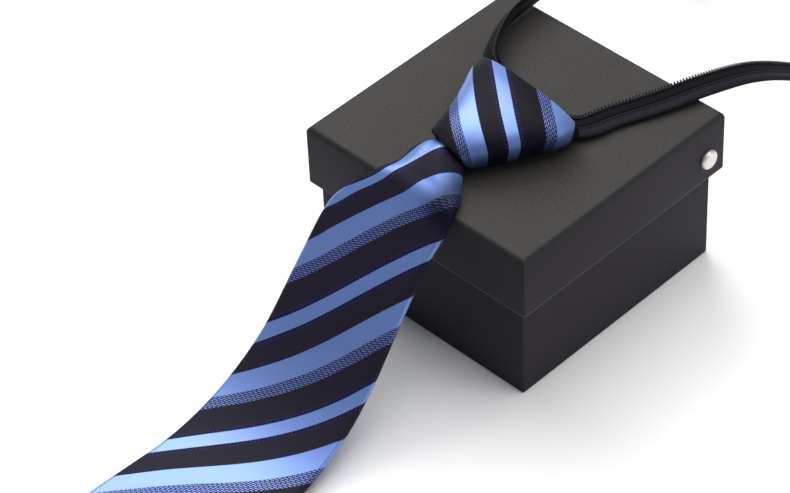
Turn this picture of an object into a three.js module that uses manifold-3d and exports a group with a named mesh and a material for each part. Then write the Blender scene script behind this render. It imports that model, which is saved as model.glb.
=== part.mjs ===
// A ready-tied zipper necktie lying over a small lidded gift box.
// The knot rests on the lid, the blade runs down over the front edge to the floor,
// and the zip neck loop runs off the back of the lid and lies on the floor behind.
// Units are millimetres, +Z is up, the origin is the centre of the box's underside,
// and the blade hangs over the box's -Y side.
import * as THREE from 'three';
import Module from 'manifold-3d';
import { mergeVertices } from 'three/addons/utils/BufferGeometryUtils.js';
import { RoundedBoxGeometry } from 'three/addons/geometries/RoundedBoxGeometry.js';

const wasm = await Module();
wasm.setup();

// Clearances
const GAP = 0.3;

// Box: a base tray with a deep lid tray over it, in wrapped board, with room between
// the lid's skirt and the base on each side
const LID_WIDTH = 101.4;
const LID_DEPTH = 101.4;
const BOX_HEIGHT = 64.7;
const LID_SKIRT = 25;
const LID_BOARD = 1.5;
const LID_EDGE_RADIUS = 2.3;
const BASE_BOARD = 1.5;
const ROOM_RIGHT = 1.85;
const ROOM_LEFT = 1.85;
const ROOM_FRONT = 1.1;
const ROOM_BACK = 1.8;
const EDGE_STEPS = 2;

// Rivets: one clinched through each end of the lid's skirt, near the back corner
const RIVET_HEAD_DIAMETER = 7.6;
const RIVET_HEAD_RISE = 1.6;
const RIVET_SHANK_DIAMETER = 3.6;
const RIVET_TAIL_DIAMETER = 6.4;
const RIVET_TAIL_THICKNESS = 0.5;
const RIVET_FROM_BACK = 8.6;
const RIVET_BELOW_LID_TOP = 15.7;
const RIVET_SIDES = 16;
const DOME_STEPS = 4;

// Blade: folded silk over an interlining, flattened
const BLADE_LENGTH = 440;
const BLADE_WIDTH = 80;
const BLADE_THICKNESS = 3;
const BLADE_TUCK = 20;
const BLADE_X = -1;
const BLADE_START_Y = -33;
const BLADE_SLOPE = 44;
const BLADE_EDGE_BEND = 4;
const BLADE_LANDING_RADIUS = 88;

// Knot: one wrapped band, wider at the neck side
const KNOT_LENGTH = 38;
const KNOT_WIDTH = 52;
const KNOT_HEIGHT = 18;
const KNOT_WALL = 2;
const KNOT_X = 1.5;
const KNOT_BEHIND_START = 4;

// Neck loop: zip tape and teeth on the inside edge, folded cloth band on the outside
const TAPE_WIDTH = 4;
const TAPE_THICKNESS = 1;
const TEETH_WIDTH = 1.7;
const TEETH_THICKNESS = 1.9;
const BAND_WIDTH = 4.9;
const BAND_THICKNESS = 1.9;
const SEAM_TO_TAPE = 0.25;
const SEAM_TO_BAND = 0.5;
const LOOP_WIDTH = 120;
const LOOP_REACH = 240;
const LOOP_STEPS = 84;

// Slider: hidden inside the knot, where the two rows of teeth meet
const SLIDER_LENGTH = 9;
const SLIDER_WIDTH = 8.4;
const SLIDER_THICKNESS = 4.6;
const SLIDER_EDGE_RADIUS = 1;
const SLIDER_X = -1;
const SLIDER_BEFORE_LOOP = 1.4;

// The blade along its length: where each section lies as a share of the blade's length
// from the knot, how far its two edges stand from the knot's centre line as shares of
// the full width, and how far its middle rises over its edges and its edges are lifted
// off the lid as shares of the width.
const BLADE_ROWS = [
  { along: -0.045, left: -0.078, right: 0.072, rise: 0.036, lift: 0.0325 },
  { along: -0.010, left: -0.090, right: 0.074, rise: 0.038, lift: 0.0325 },
  { along: 0.008, left: -0.145, right: 0.138, rise: 0.075, lift: 0.016 },
  { along: 0.026, left: -0.148, right: 0.220, rise: 0.062, lift: 0.003 },
  { along: 0.040, left: -0.190, right: 0.253, rise: 0.030, lift: 0 },
  { along: 0.057, left: -0.265, right: 0.262, rise: 0.018, lift: 0 },
  { along: 0.080, left: -0.322, right: 0.256, rise: 0.014, lift: 0 },
  { along: 0.123, left: -0.322, right: 0.274, rise: 0.012, lift: 0 },
  { along: 0.186, left: -0.305, right: 0.312, rise: 0.010, lift: 0 },
  { along: 0.245, left: -0.300, right: 0.345, rise: 0.008, lift: 0 },
  { along: 0.310, left: -0.300, right: 0.365, rise: 0.006, lift: 0 },
  { along: 0.385, left: -0.316, right: 0.394, rise: 0.004, lift: 0 },
  { along: 0.640, left: -0.375, right: 0.500, rise: 0, lift: 0 },
  { along: 0.900, left: -0.425, right: 0.575, rise: 0, lift: 0 },
];
const BLADE_TIP = { along: 1, left: 0.068, right: 0.082, rise: 0, lift: 0 };

// The knot from its narrow end to its wide end: place along it, its two sides as shares
// of the knot's width, its height as a share of the full height, and how far a section
// leans towards the blade for each unit of height and turns about the upright, in degrees.
const KNOT_ROWS = [
  { along: 0.00, left: -0.245, right: 0.145, height: 0.67, lean: 0.53, skew: -13 },
  { along: 0.10, left: -0.245, right: 0.190, height: 0.78, lean: 0.50, skew: -13 },
  { along: 0.30, left: -0.274, right: 0.285, height: 0.91, lean: 0.44, skew: -12 },
  { along: 0.55, left: -0.345, right: 0.388, height: 0.99, lean: 0.39, skew: -10 },
  { along: 0.80, left: -0.430, right: 0.475, height: 1.00, lean: 0.36, skew: -7 },
  { along: 1.00, left: -0.465, right: 0.465, height: 0.93, lean: 0.36, skew: -5 },
];

// The neck loop's route along the seam between tape and band, in order from the knot's
// right corner round to its left corner: its place as shares of the loop's width and
// reach, the share of the box's height that it is above the floor, its lift over what it
// lies on as a share of the strap's width, and the angles of the tape and of the band
// above level, in degrees, measured from the loop's inside.
const LOOP_ROUTE = [
  { across: 0.047, back: -0.008, height: 1.000, lift: 0.498, tape: 0, band: 180 },
  { across: 0.092, back: 0.011, height: 1.000, lift: 0.412, tape: -5, band: 180 },
  { across: 0.175, back: 0.038, height: 1.000, lift: 0.215, tape: 0, band: 180 },
  { across: 0.211, back: 0.093, height: 1.000, lift: 0.137, tape: 6, band: 180 },
  { across: 0.266, back: 0.157, height: 1.000, lift: 0.163, tape: 8, band: 180 },
  { across: 0.313, back: 0.225, height: 1.000, lift: 0.180, tape: 4, band: 180 },
  { across: 0.347, back: 0.312, height: 0.933, lift: 0.140, tape: 4, band: 182 },
  { across: 0.375, back: 0.392, height: 0.779, lift: 0.140, tape: 5, band: 184 },
  { across: 0.412, back: 0.479, height: 0.547, lift: 0.140, tape: 4, band: 184 },
  { across: 0.454, back: 0.571, height: 0.284, lift: 0.140, tape: 3, band: 182 },
  { across: 0.487, back: 0.667, height: 0.075, lift: 0.140, tape: 0, band: 180 },
  { across: 0.487, back: 0.767, height: 0.000, lift: 0.163, tape: 0, band: 180 },
  { across: 0.392, back: 0.883, height: 0.000, lift: 0.129, tape: 0, band: 180 },
  { across: 0.167, back: 0.963, height: 0.000, lift: 0.129, tape: 0, band: 180 },
  { across: -0.117, back: 0.967, height: 0.000, lift: 0.129, tape: 0, band: 180 },
  { across: -0.360, back: 0.905, height: 0.000, lift: 0.129, tape: 0, band: 180 },
  { across: -0.470, back: 0.800, height: 0.030, lift: 0.163, tape: 0, band: 180 },
  { across: -0.475, back: 0.695, height: 0.200, lift: 0.140, tape: 2, band: 182 },
  { across: -0.450, back: 0.600, height: 0.430, lift: 0.140, tape: 14, band: 196 },
  { across: -0.410, back: 0.500, height: 0.680, lift: 0.140, tape: 30, band: 228 },
  { across: -0.365, back: 0.395, height: 0.900, lift: 0.140, tape: 42, band: 256 },
  { across: -0.325, back: 0.300, height: 1.000, lift: 0.283, tape: 48, band: 268 },
  { across: -0.312, back: 0.237, height: 1.000, lift: 0.524, tape: 50, band: 272 },
  { across: -0.308, back: 0.185, height: 1.000, lift: 0.506, tape: 48, band: 272 },
  { across: -0.297, back: 0.139, height: 1.000, lift: 0.498, tape: 46, band: 272 },
  { across: -0.257, back: 0.088, height: 1.000, lift: 0.498, tape: 42, band: 272 },
  { across: -0.204, back: 0.046, height: 1.000, lift: 0.498, tape: 30, band: 264 },
  { across: -0.108, back: 0.015, height: 1.000, lift: 0.498, tape: 8, band: 200 },
  { across: -0.065, back: -0.008, height: 1.000, lift: 0.498, tape: 0, band: 180 },
];

const LID_TOP = BOX_HEIGHT;
const BASE_RIM = BOX_HEIGHT - LID_BOARD - GAP;
const LID_FRONT = -LID_DEPTH / 2;
const RIVET_Y = LID_DEPTH / 2 - RIVET_FROM_BACK;
const RIVET_Z = BOX_HEIGHT - RIVET_BELOW_LID_TOP;
const KNOT_FOOT = LID_TOP + GAP;
const KNOT_START_Y = BLADE_START_Y + KNOT_BEHIND_START;

const radians = THREE.MathUtils.degToRad;

function material(color, roughness, metalness = 0) {
  return new THREE.MeshStandardMaterial({ color, roughness, metalness });
}

const BOARD_BLACK = material(0x2b2b2e, 0.85);
const SILVER = material(0xc9c4bb, 0.25, 1);
const TIE_SILK = material(0x2c3a66, 0.45);
const ZIP_TAPE = material(0x23242c, 0.9);
const ZIP_TEETH = material(0x191a20, 0.4);
const BAND_CLOTH = material(0x1c1c28, 0.75);

// Booleans
function solid(geometry) {
  const bare = geometry.clone();
  bare.deleteAttribute('normal');
  bare.deleteAttribute('uv');
  const merged = mergeVertices(bare, 1e-4);
  return new wasm.Manifold(new wasm.Mesh({
    numProp: 3,
    vertProperties: new Float32Array(merged.attributes.position.array),
    triVerts: new Uint32Array(merged.index.array),
  }));
}

function fromSolid(shape) {
  const mesh = shape.getMesh();
  const geometry = new THREE.BufferGeometry();
  geometry.setAttribute('position', new THREE.BufferAttribute(mesh.vertProperties, 3));
  geometry.setIndex(new THREE.BufferAttribute(mesh.triVerts, 1));
  geometry.computeVertexNormals();
  return geometry;
}

function block(low, high) {
  const size = high.map((value, axis) => value - low[axis]);
  const centre = high.map((value, axis) => (value + low[axis]) / 2);
  return new THREE.BoxGeometry(...size).translate(...centre);
}

// Lofts: rings of points in order, closed at both ends or joined end to end
function loft(rings, ring = false) {
  const count = rings[0].length;
  const positions = rings.flat().flatMap((p) => [p.x, p.y, p.z]);
  const faces = [];
  const spans = ring ? rings.length : rings.length - 1;
  for (let i = 0; i < spans; i += 1) {
    const here = i * count;
    const next = ((i + 1) % rings.length) * count;
    for (let j = 0; j < count; j += 1) {
      const k = (j + 1) % count;
      faces.push(here + j, here + k, next + k, here + j, next + k, next + j);
    }
  }
  if (!ring) {
    capEnd(positions, faces, rings[0], 0, true);
    capEnd(positions, faces, rings.at(-1), (rings.length - 1) * count, false);
  }
  const geometry = new THREE.BufferGeometry();
  geometry.setAttribute('position', new THREE.Float32BufferAttribute(positions, 3));
  geometry.setIndex(faces);
  geometry.computeVertexNormals();
  return geometry;
}

function capEnd(positions, faces, ringPoints, first, reversed) {
  const middle = new THREE.Vector3();
  ringPoints.forEach((p) => middle.addScaledVector(p, 1 / ringPoints.length));
  const hub = positions.length / 3;
  positions.push(middle.x, middle.y, middle.z);
  ringPoints.forEach((_, j) => {
    const k = (j + 1) % ringPoints.length;
    if (reversed) faces.push(first + k, first + j, hub);
    else faces.push(first + j, first + k, hub);
  });
}

// A smooth reading of one column of a table at a place along it
function column(rows, name, key, value) {
  if (value <= rows[0][key]) return rows[0][name];
  if (value >= rows.at(-1)[key]) return rows.at(-1)[name];
  const i = rows.findIndex((row) => row[key] > value) - 1;
  const [a, b] = [rows[i], rows[i + 1]];
  const before = rows[i - 1] ?? a;
  const after = rows[i + 2] ?? b;
  const span = b[key] - a[key];
  const slopeA = i > 0 ? (b[name] - before[name]) / (b[key] - before[key]) * span : b[name] - a[name];
  const slopeB = rows[i + 2] ? (after[name] - a[name]) / (after[key] - a[key]) * span : b[name] - a[name];
  const t = (value - a[key]) / span;
  return a[name] * (2 * t ** 3 - 3 * t ** 2 + 1) + slopeA * (t ** 3 - 2 * t ** 2 + t)
    + b[name] * (3 * t ** 2 - 2 * t ** 3) + slopeB * (t ** 3 - t ** 2);
}

// Gift box
function lidGeometry() {
  const tall = LID_SKIRT + 4 * LID_EDGE_RADIUS;
  const outer = new RoundedBoxGeometry(LID_WIDTH, LID_DEPTH, tall, EDGE_STEPS, LID_EDGE_RADIUS);
  outer.translate(0, 0, LID_TOP - tall / 2);
  const inside = [LID_WIDTH / 2 - LID_BOARD, LID_DEPTH / 2 - LID_BOARD];
  const hem = LID_TOP - LID_SKIRT;
  const hollow = block([-inside[0], -inside[1], hem - tall], [inside[0], inside[1], LID_TOP - LID_BOARD]);
  const below = block([-LID_WIDTH, -LID_DEPTH, hem - tall], [LID_WIDTH, LID_DEPTH, hem]);
  return fromSolid(solid(outer).subtract(solid(hollow)).subtract(solid(below)).subtract(rivetHoles()));
}

function baseGeometry() {
  const left = -LID_WIDTH / 2 + LID_BOARD + ROOM_LEFT;
  const right = LID_WIDTH / 2 - LID_BOARD - ROOM_RIGHT;
  const front = LID_FRONT + LID_BOARD + ROOM_FRONT;
  const back = LID_DEPTH / 2 - LID_BOARD - ROOM_BACK;
  const outer = block([left, front, 0], [right, back, BASE_RIM]);
  const hollow = block(
    [left + BASE_BOARD, front + BASE_BOARD, BASE_BOARD],
    [right - BASE_BOARD, back - BASE_BOARD, BASE_RIM + BASE_BOARD],
  );
  return fromSolid(solid(outer).subtract(solid(hollow)));
}

function rivetHoles() {
  const radius = RIVET_SHANK_DIAMETER / 2 + GAP;
  const drill = new THREE.CylinderGeometry(radius, radius, 2 * LID_WIDTH, RIVET_SIDES);
  return solid(drill.rotateZ(Math.PI / 2).translate(0, RIVET_Y, RIVET_Z));
}

// A rivet lies along +X with its head's seat on the lid's outer face
function rivetGeometry(side) {
  const headRadius = RIVET_HEAD_DIAMETER / 2;
  const seat = LID_WIDTH / 2 + GAP;
  const inner = LID_WIDTH / 2 - LID_BOARD - GAP;
  const shank = RIVET_SHANK_DIAMETER / 2;
  const tail = RIVET_TAIL_DIAMETER / 2;
  const profile = [
    new THREE.Vector2(0, inner - RIVET_TAIL_THICKNESS),
    new THREE.Vector2(tail, inner - RIVET_TAIL_THICKNESS),
    new THREE.Vector2(tail, inner),
    new THREE.Vector2(shank, inner),
    new THREE.Vector2(shank, seat),
    new THREE.Vector2(headRadius, seat),
  ];
  for (let i = 1; i < DOME_STEPS; i += 1) {
    const turn = i / DOME_STEPS * Math.PI / 2;
    profile.push(new THREE.Vector2(headRadius * Math.cos(turn), seat + RIVET_HEAD_RISE * Math.sin(turn)));
  }
  profile.push(new THREE.Vector2(0, seat + RIVET_HEAD_RISE));
  const rivet = new THREE.LatheGeometry(profile, RIVET_SIDES);
  rivet.rotateZ(-Math.PI / 2);
  if (side < 0) rivet.rotateZ(Math.PI);
  return rivet.translate(0, RIVET_Y, RIVET_Z);
}

// Blade: the line of its mid thickness in the YZ plane, by length from the knot
function bladeSpine(length) {
  const half = BLADE_THICKNESS / 2;
  const slope = radians(BLADE_SLOPE);
  const top = LID_TOP + GAP + half;
  const floor = GAP + half;
  const bendY = LID_FRONT + LID_EDGE_RADIUS;
  const ramp = (top - floor - (BLADE_EDGE_BEND + BLADE_LANDING_RADIUS) * (1 - Math.cos(slope)))
    / Math.sin(slope);
  const bendAt = BLADE_START_Y - bendY;
  const rampAt = bendAt + BLADE_EDGE_BEND * slope;
  const landAt = rampAt + ramp;
  const floorAt = landAt + BLADE_LANDING_RADIUS * slope;
  if (length < bendAt) return { y: BLADE_START_Y - length, z: top, pitch: 0 };
  if (length < rampAt) {
    const turn = (length - bendAt) / BLADE_EDGE_BEND;
    return {
      y: bendY - BLADE_EDGE_BEND * Math.sin(turn),
      z: top - BLADE_EDGE_BEND * (1 - Math.cos(turn)),
      pitch: turn,
    };
  }
  const rampY = bendY - BLADE_EDGE_BEND * Math.sin(slope);
  const rampZ = top - BLADE_EDGE_BEND * (1 - Math.cos(slope));
  if (length < landAt) {
    const down = length - rampAt;
    return { y: rampY - down * Math.cos(slope), z: rampZ - down * Math.sin(slope), pitch: slope };
  }
  const landY = rampY - ramp * Math.cos(slope);
  if (length < floorAt) {
    const turn = slope - (length - landAt) / BLADE_LANDING_RADIUS;
    return {
      y: landY - BLADE_LANDING_RADIUS * (Math.sin(slope) - Math.sin(turn)),
      z: floor + BLADE_LANDING_RADIUS * (1 - Math.cos(turn)),
      pitch: turn,
    };
  }
  const flat = length - floorAt;
  return { y: landY - BLADE_LANDING_RADIUS * Math.sin(slope) - flat, z: floor, pitch: 0 };
}

// Places across the blade from its left edge to its right edge, and the stretches that
// its length is made in: up to which share of the length, in how many steps
const BLADE_SECTION = [-1, -0.94, -0.7, -0.35, 0, 0.35, 0.7, 0.94, 1];
const BLADE_SPANS = [
  { to: 0, steps: 5 },
  { to: 0.036, steps: 5 },
  { to: 0.09, steps: 8 },
  { to: 0.33, steps: 12 },
  { to: 0.9, steps: 8 },
  { to: 1, steps: 1 },
];

function bladeRing(length) {
  const rows = [...BLADE_ROWS, BLADE_TIP];
  const along = length / BLADE_LENGTH;
  const read = (name) => column(rows, name, 'along', along) * BLADE_WIDTH;
  const [left, right, rise, raised] = [read('left'), read('right'), read('rise'), read('lift')];
  const { y, z, pitch } = bladeSpine(length);
  const out = new THREE.Vector3(0, -Math.sin(pitch), Math.cos(pitch));
  const place = (across, side) => {
    const rim = Math.abs(across) === 1;
    const lift = raised + rise * (1 - across ** 2) + (rim ? 0 : side * BLADE_THICKNESS / 2);
    const x = BLADE_X + (left + right) / 2 + across * (right - left) / 2;
    return new THREE.Vector3(x, y, z).addScaledVector(out, lift);
  };
  const upper = BLADE_SECTION.map((across) => place(across, 1));
  const lower = BLADE_SECTION.slice(1, -1).reverse().map((across) => place(across, -1));
  return [...upper, ...lower];
}

function bladeGeometry() {
  const stops = [];
  let from = -BLADE_TUCK;
  BLADE_SPANS.forEach(({ to, steps }) => {
    const end = to * BLADE_LENGTH;
    for (let i = 0; i < steps; i += 1) stops.push(from + (end - from) * i / steps);
    from = end;
  });
  stops.push(BLADE_LENGTH);
  return loft(stops.map(bladeRing).toReversed());
}

// Knot: an open tapered sleeve, its two mouths leaning towards the blade
const KNOT_SIDES = 28;
const KNOT_STOPS = [0, 0.05, 0.15, 0.3, 0.5, 0.7, 0.85, 0.95, 1];
const KNOT_LIP = 0.35;
const KNOT_CROWN_ROUNDNESS = 0.9;
const KNOT_FOOT_ROUNDNESS = 0.55;

function knotRing(along, inset) {
  const read = (name) => column(KNOT_ROWS, name, 'along', along);
  const left = read('left') * KNOT_WIDTH + inset;
  const right = read('right') * KNOT_WIDTH - inset;
  const height = read('height') * KNOT_HEIGHT - 2 * inset;
  const skew = radians(read('skew'));
  const ring = [];
  for (let i = 0; i < KNOT_SIDES; i += 1) {
    const turn = i / KNOT_SIDES * 2 * Math.PI;
    const [c, s] = [Math.cos(turn), Math.sin(turn)];
    const roundness = s > 0 ? KNOT_CROWN_ROUNDNESS : KNOT_FOOT_ROUNDNESS;
    const across = (left + right) / 2 + Math.sign(c) * Math.abs(c) ** roundness * (right - left) / 2;
    const up = (1 + Math.sign(s) * Math.abs(s) ** roundness) / 2 * height + inset;
    ring.push(new THREE.Vector3(
      KNOT_X + across * Math.cos(skew),
      KNOT_START_Y + along * KNOT_LENGTH + across * Math.sin(skew) - read('lean') * up,
      KNOT_FOOT + up,
    ));
  }
  return ring;
}

function knotGeometry() {
  const lip = KNOT_WALL * KNOT_LIP;
  const rim = (along) => along === 0 || along === 1;
  const rings = [
    ...KNOT_STOPS.map((along) => knotRing(along, rim(along) ? lip : 0)),
    ...KNOT_STOPS.toReversed().map((along) => knotRing(along, KNOT_WALL - (rim(along) ? lip : 0))),
  ];
  const sleeve = solid(loft(rings.toReversed(), true));
  return fromSolid(sleeve.subtract(loopEnvelope()));
}

// Neck loop
const TAPE_REACH = SEAM_TO_TAPE + TAPE_WIDTH + GAP + TEETH_WIDTH;
const BAND_REACH = SEAM_TO_BAND + BAND_WIDTH;
const STRAP_WIDTH = TAPE_REACH + BAND_REACH;
const LOOP_CURVE = new THREE.CatmullRomCurve3(LOOP_ROUTE.map((stop) => new THREE.Vector3(
  stop.across * LOOP_WIDTH,
  stop.back * LOOP_REACH,
  stop.height * LID_TOP + stop.lift * STRAP_WIDTH,
)));

function loopFrame(share) {
  const t = LOOP_CURVE.getUtoTmapping(share);
  const at = LOOP_CURVE.getPoint(t);
  const tangent = LOOP_CURVE.getTangent(t);
  const inward = new THREE.Vector3(0, 0, 1).cross(tangent).normalize();
  const upward = tangent.clone().cross(inward).normalize();
  const place = t * (LOOP_ROUTE.length - 1);
  const stops = LOOP_ROUTE.map((stop, order) => ({ ...stop, order }));
  const angle = (name) => radians(column(stops, name, 'order', place));
  return { at, inward, upward, tape: angle('tape'), band: angle('band') };
}

// One strip of the loop: from the seam outwards, along the tape's or the band's direction
function stripGeometry(side, start, width, thickness, sides) {
  const rings = [];
  for (let i = 0; i <= LOOP_STEPS; i += 1) {
    const frame = loopFrame(i / LOOP_STEPS);
    const angle = frame[side];
    const out = frame.inward.clone().multiplyScalar(Math.cos(angle))
      .addScaledVector(frame.upward, Math.sin(angle));
    const normal = frame.upward.clone().multiplyScalar(Math.cos(angle))
      .addScaledVector(frame.inward, -Math.sin(angle));
    const ring = sides.map(([u, v]) => frame.at.clone()
      .addScaledVector(out, start + u * width)
      .addScaledVector(normal, v * thickness / 2));
    rings.push(ring);
  }
  return loft(rings);
}

const FLAT_STRIP = [[0, -1], [1, -1], [1, 1], [0, 1]];
const SOFT_STRIP = [[0, -0.6], [0.15, -1], [0.85, -1], [1, 0], [0.85, 1], [0.15, 1], [0, 0.6]];
const ROUND_STRIP = [[0, -0.5], [0.3, -1], [0.7, -1], [1, -0.5], [1, 0.5], [0.7, 1], [0.3, 1], [0, 0.5]];

// The room that the loop's two ends take where they leave the knot
function loopEnvelope() {
  const room = 2 * GAP;
  const tape = stripGeometry('tape', -room, TAPE_REACH + 2 * room, TEETH_THICKNESS + 2 * room, FLAT_STRIP);
  const band = stripGeometry('band', -room, BAND_REACH + 2 * room, BAND_THICKNESS + 2 * room, FLAT_STRIP);
  return solid(tape).add(solid(band));
}

function tapeGeometry() {
  return stripGeometry('tape', SEAM_TO_TAPE, TAPE_WIDTH, TAPE_THICKNESS, FLAT_STRIP);
}

function teethGeometry() {
  const start = SEAM_TO_TAPE + TAPE_WIDTH + GAP;
  return stripGeometry('tape', start, TEETH_WIDTH, TEETH_THICKNESS, ROUND_STRIP);
}

function bandGeometry() {
  return stripGeometry('band', SEAM_TO_BAND, BAND_WIDTH, BAND_THICKNESS, SOFT_STRIP);
}

function sliderGeometry() {
  const size = [SLIDER_WIDTH, SLIDER_LENGTH, SLIDER_THICKNESS];
  const slider = new RoundedBoxGeometry(...size, EDGE_STEPS, SLIDER_EDGE_RADIUS);
  const back = LOOP_CURVE.getPoint(0).y - SLIDER_BEFORE_LOOP;
  const foot = KNOT_FOOT + KNOT_WALL + GAP;
  return slider.translate(SLIDER_X, back - SLIDER_LENGTH / 2, foot + SLIDER_THICKNESS / 2);
}

const tie = new THREE.Group();

function addPiece(name, geometry, finish) {
  const piece = new THREE.Mesh(geometry, finish);
  piece.name = name;
  tie.add(piece);
}

addPiece('box_base', baseGeometry(), BOARD_BLACK);
addPiece('box_lid', lidGeometry(), BOARD_BLACK);
addPiece('rivet_right', rivetGeometry(1), SILVER);
addPiece('rivet_left', rivetGeometry(-1), SILVER);
addPiece('knot', knotGeometry(), TIE_SILK);
addPiece('blade', bladeGeometry(), TIE_SILK);
addPiece('zip_tape', tapeGeometry(), ZIP_TAPE);
addPiece('zip_teeth', teethGeometry(), ZIP_TEETH);
addPiece('neck_band', bandGeometry(), BAND_CLOTH);
addPiece('zip_slider', sliderGeometry(), ZIP_TEETH);

export default tie;
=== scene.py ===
"""Finish of a ready-tied zipper tie on its gift box, laid out as a Blender add-on.

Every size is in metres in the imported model's own frame: +Z is up, the origin is the
middle of the box's underside and the blade hangs over the box's -Y side.
"""

import math

import bmesh
import bpy
import numpy as np
from mathutils import Matrix, Vector


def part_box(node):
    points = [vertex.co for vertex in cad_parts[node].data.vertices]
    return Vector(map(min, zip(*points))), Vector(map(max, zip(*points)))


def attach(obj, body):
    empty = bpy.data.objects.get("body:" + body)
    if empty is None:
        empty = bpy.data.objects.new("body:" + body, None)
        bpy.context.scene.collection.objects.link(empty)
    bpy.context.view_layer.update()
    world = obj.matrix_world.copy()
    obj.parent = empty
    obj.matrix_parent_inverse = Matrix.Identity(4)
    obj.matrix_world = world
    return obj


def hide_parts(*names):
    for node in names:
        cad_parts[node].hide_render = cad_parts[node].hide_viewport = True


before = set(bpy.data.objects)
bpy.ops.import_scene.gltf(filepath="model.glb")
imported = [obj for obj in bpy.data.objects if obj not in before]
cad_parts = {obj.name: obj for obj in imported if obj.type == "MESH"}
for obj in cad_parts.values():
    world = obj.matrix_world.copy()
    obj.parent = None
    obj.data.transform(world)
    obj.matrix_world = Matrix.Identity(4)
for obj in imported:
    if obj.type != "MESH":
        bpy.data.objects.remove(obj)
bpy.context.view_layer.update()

bl_info = {
    "name": "Zipper Tie Finish",
    "version": (1, 0, 0),
    "blender": (4, 5, 0),
    "location": "View3D > Sidebar > Zipper Tie",
    "description": "Builds the silk, the zip loop, the gift box and the stage of a zipper tie",
    "category": "Object",
}

MM = 0.001
GAP = 0.3 * MM
LID_LOW, LID_HIGH = (Vector(corner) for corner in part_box("box_lid"))
BASE_LOW, BASE_HIGH = (Vector(corner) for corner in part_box("box_base"))
LID_TOP = LID_HIGH.z
LID_FRONT = LID_LOW.y


# Settings that a user can change

def plain_setting(name, description, default, **more):
    return bpy.props.FloatProperty(name=name, description=description, default=default, **more)


def length_setting(name, description, default):
    return plain_setting(name, description, default, unit="LENGTH")


def power_setting(name, description, default):
    return plain_setting(name, description, default, unit="POWER")


def colour_setting(name, description, default):
    return bpy.props.FloatVectorProperty(
        name=name, description=description, default=default, subtype="COLOR", size=3)


class SilkSettings(bpy.types.PropertyGroup):
    blade_length: length_setting("Blade Length", "From the knot to the point", 0.440)
    blade_width: length_setting("Blade Width", "Across the shoulder above the point", 0.080)
    blade_thickness: length_setting("Blade Thickness", "Silk and interlining together", 0.003)
    knot_length: length_setting("Knot Length", "Between the knot's two mouths", 0.038)
    knot_width: length_setting("Knot Width", "Across the knot's wide end", 0.052)
    knot_height: length_setting("Knot Height", "Height of the knot's crown", 0.018)
    knot_wall: length_setting("Knot Wall", "Thickness of the wrapped cloth", 0.002)
    repeat: length_setting(
        "Stripe Repeat", "One repeat of the stripes, measured down the blade", 0.0502)
    night: colour_setting("Night", "Ground colour of the silk", (0.0088, 0.0078, 0.0150))
    sky: colour_setting("Sky", "Colour of the satin stripes", (0.165, 0.270, 0.64))
    plum: colour_setting(
        "Plum", "Colour of the stitched ticks beside the thin stripe", (0.020, 0.018, 0.085))
    navy: colour_setting("Navy", "Dark yarn of the hatched stripe", (0.0055, 0.0065, 0.045))
    mist: colour_setting("Mist", "Light yarn of the hatched stripe", (0.18, 0.25, 0.58))


class LoopSettings(bpy.types.PropertyGroup):
    tape_width: length_setting("Tape Width", "Woven tape between band and teeth", 0.004)
    band_width: length_setting("Band Width", "Folded band outside the tape", 0.0049)
    tooth_pitch: length_setting("Tooth Pitch", "From one coil turn to the next", 0.00125)
    wire: length_setting("Coil Wire", "Diameter of the coil's nylon", 0.00058)
    stitch: length_setting("Stitch", "Length of one topstitch and its gap", 0.0026)
    band_colour: colour_setting("Band Colour", "Folded band cloth", (0.0080, 0.0066, 0.0125))
    tape_colour: colour_setting("Tape Colour", "Zip tape", (0.0045, 0.0042, 0.0060))
    coil_colour: colour_setting("Coil Colour", "Nylon coil teeth", (0.0030, 0.0030, 0.0040))


class BoxSettings(bpy.types.PropertyGroup):
    board: length_setting("Board", "Thickness of the wrapped board", 0.0015)
    edge: length_setting("Edge Radius", "Rounding of the lid's upper edges", 0.0023)
    # The paper's colours by facing: the level one is lighter, partly the paper's own colour and
    # partly painted light
    paper: colour_setting("Paper", "Wrapping paper on level faces", (0.033, 0.031, 0.0285))
    skirt: colour_setting("Skirt", "Wrapping paper on upright faces", (0.0126, 0.0096, 0.0172))
    speckle: colour_setting("Speckle", "Pale fibres in the paper", (0.12, 0.115, 0.10))
    rivet: colour_setting("Rivet", "Polished rivet heads", (0.80, 0.76, 0.70))


class StageSettings(bpy.types.PropertyGroup):
    floor: colour_setting("Floor", "Plain floor", (0.97, 0.97, 0.97))
    key: power_setting("Key Light", "Power of the large soft light", 24.0)
    overhead: power_setting("Overhead Light", "Power of the soft light overhead", 26.0)
    fill: plain_setting("Fill", "Strength of the even light all round", 0.22)
    side: power_setting("Side Light", "Power of the weak light on the right", 6.0)


# Tables, read smoothly along their first column

def table(columns, *rows):
    """Rows of numbers under named columns, as one list for each column."""
    return {name: [row[i] for row in rows] for i, name in enumerate(columns.split())}


def read(rows, name, place):
    """A smooth reading of one column at a place along the first one."""
    key = next(iter(rows.values()))
    column = rows[name]
    if place <= key[0]:
        return column[0]
    if place >= key[-1]:
        return column[-1]
    i = next(n for n, value in enumerate(key) if value > place) - 1
    span = key[i + 1] - key[i]
    rise = column[i + 1] - column[i]
    start = rise
    if i > 0:
        start = (column[i + 1] - column[i - 1]) / (key[i + 1] - key[i - 1]) * span
    end = rise
    if i + 2 < len(key):
        end = (column[i + 2] - column[i]) / (key[i + 2] - key[i]) * span
    t = (place - key[i]) / span
    return (column[i] * (2 * t**3 - 3 * t**2 + 1) + start * (t**3 - 2 * t**2 + t)
            + column[i + 1] * (3 * t**2 - 2 * t**3) + end * (t**3 - t**2))


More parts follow.
